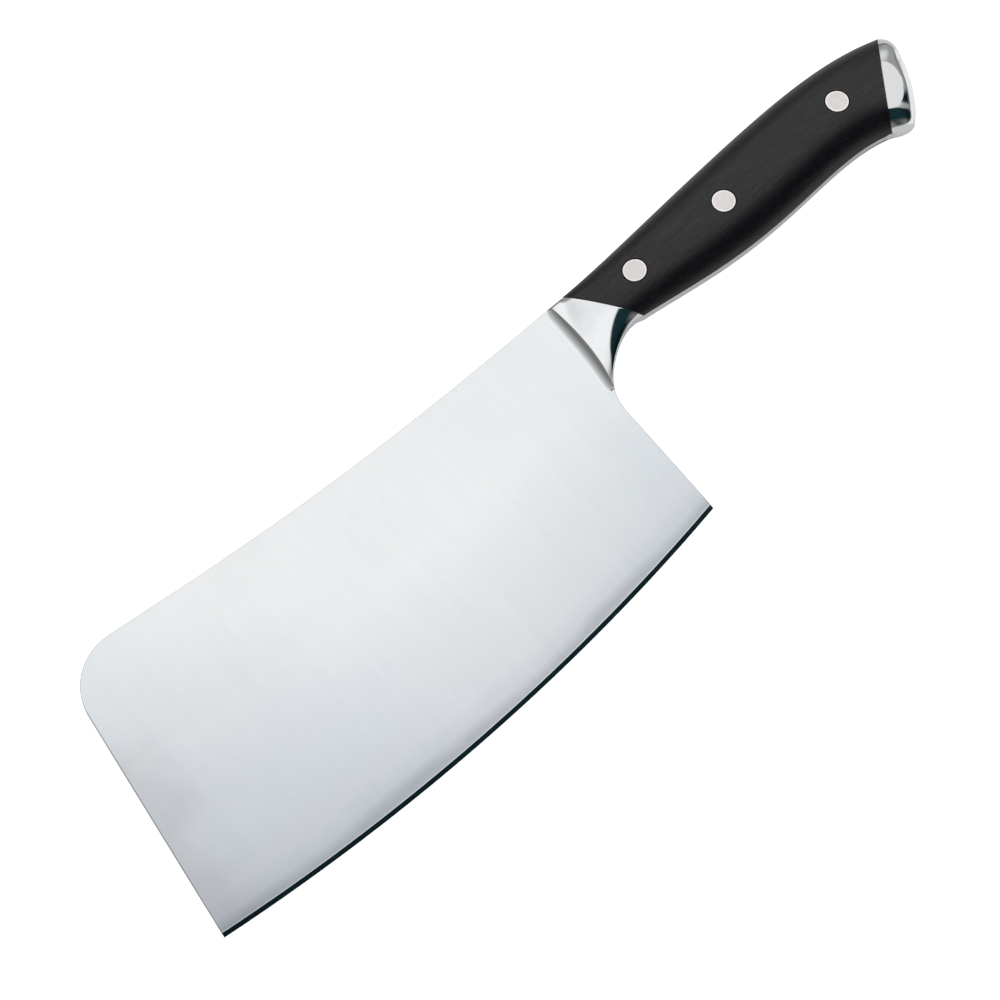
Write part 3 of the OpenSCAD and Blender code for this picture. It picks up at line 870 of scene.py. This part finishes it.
def mirror_steel():
    """Bolsters and cap: polished, with faint buffing lines and a few pits."""
    mat, tree, bsdf, where = new_material("mirror_polished_steel")
    haze = stretched(tree, where, (3.0, 3.0, 3.0), 4, 0.6)
    buff = stretched(tree, where, (1.6, 0.10, 0.4), 3, 0.6, (0, 0, 0.5))
    pits = add(tree, "ShaderNodeTexVoronoi", {"Vector": where, "Scale": 900.0}).outputs["Distance"]
    pit = ranged(tree, pits, 1.0, 0.0, 0.03, 0.10)
    rare = ranged(tree, stretched(tree, where, (2.4, 2.4, 2.4), 2, 0.5), 0.0, 1.0, 0.60, 0.66)
    pit = maths(tree, "MULTIPLY", pit, rare, True)
    tree.links.new(tint(tree, haze, [(0.3, (0.80, 0.805, 0.81)), (0.7, (0.835, 0.84, 0.845))]),
                   bsdf.inputs["Base Color"])
    rough = maths(tree, "ADD", ranged(tree, haze, 0.05, 0.11, 0.3, 0.7), maths(tree, "MULTIPLY", pit, 0.25))
    tree.links.new(rough, bsdf.inputs["Roughness"])
    bump = add(tree, "ShaderNodeBump", {"Height": buff, "Strength": 0.25, "Distance": 0.000004})
    bump2 = add(tree, "ShaderNodeBump", {"Height": pit, "Strength": 0.6, "Distance": 0.00002,
                "Normal": bump.outputs[0]}, invert=True)
    tree.links.new(bump2.outputs[0], bsdf.inputs["Normal"])
    bsdf.inputs["Metallic"].default_value = 1.0
    return mat


def black_wood():
    """The scales: black stain over a stretched grain, with pores and worn spots."""
    mat, tree, bsdf, where = new_material("black_stained_wood")
    warp = add(tree, "ShaderNodeTexNoise", {"Vector": where, "Scale": 32.0, "Detail": 2.5})
    bent = add(tree, "ShaderNodeVectorMath", operation="MULTIPLY_ADD")
    tree.links.new(warp.outputs["Color"], bent.inputs[0])
    bent.inputs[1].default_value = (0.004, 0.011, 0.011)
    tree.links.new(where, bent.inputs[2])
    grain = stretched(tree, bent.outputs[0], (16.0, 0.7, 0.7), 5, 0.65)
    pore = stretched(tree, bent.outputs[0], (5.0, 0.16, 0.16), 2, 0.5)
    base = tint(tree, grain, [(0.36, (0.0012, 0.0009, 0.0018)), (0.50, (0.0045, 0.0036, 0.0058)),
                              (0.60, (0.0120, 0.0098, 0.0135)), (0.72, (0.0280, 0.0235, 0.0280))])
    # small brown flecks, and bare wood on the end that stands above the cap
    fleck = ranged(tree, stretched(tree, bent.outputs[0], (1.8, 0.5, 0.5), 3, 0.6), 0.0, 0.5, 0.70, 0.76)
    axes = add(tree, "ShaderNodeSeparateXYZ", {"Vector": where}).outputs
    height = maths(tree, "ABSOLUTE", maths(tree, "SUBTRACT", axes["Z"], ORIGIN[2] * MM))
    reached = maths(tree, "SUBTRACT", axes["X"], maths(tree, "MULTIPLY", axes["Y"], REAR_SLANT))
    reached = maths(tree, "SUBTRACT", reached, maths(tree, "MULTIPLY", height, REAR_DRAFT))
    joint = (REAR_BASE + ORIGIN[0] - REAR_SLANT * ORIGIN[1] - REAR_DRAFT * TANG) * MM
    bare = ranged(tree, reached, 0.0, 1.0, joint - 0.00050, joint - 0.00030)
    level = maths(tree, "ABSOLUTE", maths(tree, "SUBTRACT", axes["Y"], (ORIGIN[1] - 1.6) * MM))
    bare = maths(tree, "MULTIPLY", bare, ranged(tree, level, 1.0, 0.0, 0.0055, 0.0065))
    speckle = ranged(tree, stretched(tree, where, (0.5, 0.5, 0.5), 2, 0.5), 0.2, 1.0, 0.4, 0.6)
    worn = maths(tree, "MAXIMUM", fleck, maths(tree, "MULTIPLY", bare, speckle))
    mixed = add(tree, "ShaderNodeMix", {"Factor": worn}, data_type="RGBA")
    tree.links.new(base, mixed.inputs[6])
    mixed.inputs[7].default_value = (0.17, 0.075, 0.038, 1)
    tree.links.new(mixed.outputs[2], bsdf.inputs["Base Color"])
    rough = maths(tree, "ADD", ranged(tree, grain, 0.40, 0.30, 0.3, 0.7),
                  ranged(tree, pore, 0.05, 0.0, 0.3, 0.5))
    tree.links.new(rough, bsdf.inputs["Roughness"])
    dip = ranged(tree, pore, 0.0, 1.0, 0.30, 0.42)
    bump = add(tree, "ShaderNodeBump", {"Height": grain, "Strength": 0.4, "Distance": 0.00006})
    bump2 = add(tree, "ShaderNodeBump", {"Height": dip, "Strength": 0.35, "Distance": 0.00002,
                "Normal": bump.outputs[0]})
    tree.links.new(bump2.outputs[0], bsdf.inputs["Normal"])
    bsdf.inputs["Specular IOR Level"].default_value = 0.5
    return mat


def rivet_metal():
    """The rivets: brushed, with a bright border round the head."""
    mat, tree, bsdf, where = new_material("satin_rivet_metal")
    lines = stretched(tree, where, (3.0, 0.07, 1.0), 3, 0.6, (0, 0, 0.35))
    cloud = stretched(tree, where, (1.4, 1.4, 1.4), 3, 0.6)
    plan = add(tree, "ShaderNodeVectorMath", {0: where, 1: (1, 1, 0)}, operation="MULTIPLY").outputs[0]
    nearest = 1.0
    for x, y in RIVETS.values():
        centre = ((x + ORIGIN[0]) * MM, (y + ORIGIN[1]) * MM, 0.0)
        far = add(tree, "ShaderNodeVectorMath", {0: plan, 1: centre}, operation="DISTANCE").outputs["Value"]
        nearest = maths(tree, "MINIMUM", far, nearest)
    border = ranged(tree, nearest, 1.0, 1.32, (HEAD_R - 0.50) * MM, (HEAD_R - 0.35) * MM)
    face = tint(tree, cloud, [(0.3, (0.715, 0.675, 0.655)), (0.7, (0.775, 0.74, 0.72))])
    tree.links.new(blended(tree, face, border), bsdf.inputs["Base Color"])
    tree.links.new(ranged(tree, lines, 0.24, 0.38, 0.3, 0.7), bsdf.inputs["Roughness"])
    bump = add(tree, "ShaderNodeBump", {"Height": lines, "Strength": 0.4, "Distance": 0.000008})
    tree.links.new(bump.outputs[0], bsdf.inputs["Normal"])
    bsdf.inputs["Metallic"].default_value = 1.0
    return mat


def resin():
    """The glue lines: dark and slightly mottled."""
    mat, tree, bsdf, where = new_material("glue_line_resin")
    spots = stretched(tree, where, (0.8, 0.8, 0.8), 4, 0.6)
    tree.links.new(tint(tree, spots, [(0.3, (0.020, 0.009, 0.005)), (0.7, (0.050, 0.022, 0.012))]),
                   bsdf.inputs["Base Color"])
    tree.links.new(ranged(tree, spots, 0.35, 0.6, 0.3, 0.7), bsdf.inputs["Roughness"])
    bump = add(tree, "ShaderNodeBump", {"Height": spots, "Strength": 0.3, "Distance": 0.00002})
    tree.links.new(bump.outputs[0], bsdf.inputs["Normal"])
    return mat


# ------------------------------------------------------------------ studio

def build_world():
    """Soft studio light whose tone is a function of the direction, and plain white to the camera."""
    world = bpy.data.worlds.new("studio")
    bpy.context.scene.world = world
    world.use_nodes = True
    tree = world.node_tree
    tree.nodes.clear()
    ray = tree.nodes.new("ShaderNodeTexCoord").outputs["Generated"]
    parts = add(tree, "ShaderNodeSeparateXYZ", {"Vector": ray}).outputs

    def turned(axis, stops):
        """Tone against the angle from straight up, measured towards one axis of the part."""
        angle = maths(tree, "ARCTAN2", parts[axis], parts[2])
        place = ranged(tree, angle, 0.0, 1.0, -math.pi, math.pi)
        return tint(tree, place, [(0.5 + deg / 360.0, tone) for deg, tone in stops])

    def sideways(stops):
        """Tone against the share of the direction that runs along the part's Y axis."""
        place = ranged(tree, parts["Y"], 0.0, 1.0, -1.0, 1.0)
        return tint(tree, place, [(0.5 + share / 2, tone) for share, tone in stops])

    def grey(v):
        return (v, v * 1.004, v * 1.008)

    dark = (0.010, 0.030, 0.036)
    lengthwise = turned("X", [(-100, grey(0.30)), (-64, grey(0.17)), (-43, grey(0.30)), (-24, grey(0.47)),
                              (-12, grey(0.64)), (0, grey(0.86)), (8, grey(1.0)), (28, grey(1.0)),
                              (44, grey(0.85)), (58, grey(0.36)), (92, grey(0.33)), (100, grey(0.5))])
    across = sideways([(-1.0, grey(0.20)), (-0.88, grey(0.13)), (-0.74, dark), (-0.21, dark),
                       (-0.15, grey(1.05)), (0.78, grey(1.05)), (0.87, grey(0.36)), (1.0, grey(0.34))])
    lit = add(tree, "ShaderNodeMix", {"Factor": 1.0}, data_type="RGBA", blend_type="MULTIPLY")
    tree.links.new(lengthwise, lit.inputs[6])
    tree.links.new(across, lit.inputs[7])
    # the dark side is only a screen: past its end the room is light again
    past = maths(tree, "MULTIPLY", ranged(tree, parts["X"], 1.0, 0.0, -0.42, -0.22),
                 ranged(tree, parts["Y"], 1.0, 0.0, -0.19, -0.13))
    room = add(tree, "ShaderNodeMix", {"Factor": past}, data_type="RGBA")
    tree.links.new(lit.outputs[2], room.inputs[6])
    room.inputs[7].default_value = (0.62, 0.625, 0.63, 1)
    # a grey band of wall just above the floor
    near_floor = ranged(tree, parts["Z"], 1.0, 0.0, 0.08, 0.20)
    low = add(tree, "ShaderNodeMix", {"Factor": near_floor}, data_type="RGBA")
    tree.links.new(room.outputs[2], low.inputs[6])
    low.inputs[7].default_value = (0.20, 0.21, 0.22, 1)
    back = tree.nodes.new("ShaderNodeBackground")
    tree.links.new(low.outputs[2], back.inputs["Color"])
    plain = add(tree, "ShaderNodeBackground", {"Color": (1, 1, 1, 1), "Strength": 1.0})
    path = tree.nodes.new("ShaderNodeLightPath")
    mix = tree.nodes.new("ShaderNodeMixShader")
    tree.links.new(path.outputs["Is Camera Ray"], mix.inputs[0])
    tree.links.new(back.outputs[0], mix.inputs[1])
    tree.links.new(plain.outputs[0], mix.inputs[2])
    out = tree.nodes.new("ShaderNodeOutputWorld")
    tree.links.new(mix.outputs[0], out.inputs[0])


def build_floor():
    """Pale paper that glows evenly to the camera and more softly to the knife, with a painted pool of light
    beside the butt that only reflections see.
    """
    mesh = bpy.data.meshes.new("studio_floor")
    far = 6.0
    mesh.from_pydata([(-far, -far, 0), (far, -far, 0), (far, far, 0), (-far, far, 0)], [], [(0, 1, 2, 3)])
    floor = bpy.data.objects.new("studio_floor", mesh)
    bpy.context.scene.collection.objects.link(floor)
    mat, tree, bsdf, where = new_material("studio_floor")
    paper = stretched(tree, where, (4.0, 4.0, 4.0), 2, 0.5)
    tree.links.new(tint(tree, paper, [(0.3, (0.86, 0.86, 0.86)), (0.7, (0.88, 0.88, 0.88))]),
                   bsdf.inputs["Base Color"])
    bsdf.inputs["Roughness"].default_value = 0.9
    bsdf.inputs["Specular IOR Level"].default_value = 0.0
    bsdf.inputs["Emission Color"].default_value = (1, 1, 1, 1)
    seen = tree.nodes.new("ShaderNodeLightPath").outputs["Is Camera Ray"]
    axes = add(tree, "ShaderNodeSeparateXYZ", {"Vector": where}).outputs
    # painted light: a brighter patch of glow on the floor beside the butt, which the cap and the spine side
    # reflect
    painted_light_pool = maths(tree, "MULTIPLY", ranged(tree, axes["X"], 0.0, 0.30, 0.145, 0.155),
                 ranged(tree, axes["Y"], 1.0, 0.0, 0.034, 0.041))
    painted_light_pool = maths(tree, "ADD", painted_light_pool, 0.24)
    glow = maths(tree, "ADD", maths(tree, "MULTIPLY", seen, 0.93),
                 maths(tree, "MULTIPLY", maths(tree, "SUBTRACT", 1.0, seen), painted_light_pool))
    tree.links.new(glow, bsdf.inputs["Emission Strength"])
    mesh.materials.append(mat)


AZIMUTH, ELEVATION, DISTANCE = -40.75, 65.5, 1.105   # degrees, degrees and metres
TARGET = (-0.01991, 0.00401, 0.008)
LENS, SENSOR = 153.9, 36.0


def build_camera():
    az, el = math.radians(AZIMUTH), math.radians(ELEVATION)
    back = Vector((math.sin(az) * math.cos(el), -math.cos(az) * math.cos(el), math.sin(el)))
    data = bpy.data.cameras.new("camera")
    data.lens, data.sensor_width, data.clip_start = LENS, SENSOR, 0.01
    cam = bpy.data.objects.new("camera", data)
    cam.location = Vector(TARGET) + back * DISTANCE
    cam.rotation_euler = back.to_track_quat("Z", "Y").to_euler()
    bpy.context.scene.collection.objects.link(cam)
    bpy.context.scene.camera = cam


# ------------------------------------------------------------------ assembly

def paint(obj, mat):
    obj.data.materials.clear()
    obj.data.materials.append(mat)


build_camera()
build_world()
build_floor()
blade_mat, mirror_mat, wood_mat, rivet_mat, resin_mat = (
    satin_steel(), mirror_steel(), black_wood(), rivet_metal(), resin())
paint(build_blade(), blade_mat)
paint(build_cap(), mirror_mat)
for side_name in ("left", "right"):
    paint(build_bolster(side_name), mirror_mat)
    paint(build_scale(side_name), wood_mat)
    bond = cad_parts[f"{side_name}_bond"]
    for material_slot in bond.material_slots:
        material_slot.material = resin_mat
for rivet in RIVETS:
    for half_kind in ("pin", "barrel"):
        paint(build_rivet(rivet, half_kind), rivet_mat)

bpy.context.scene.view_settings.view_transform = "Standard"
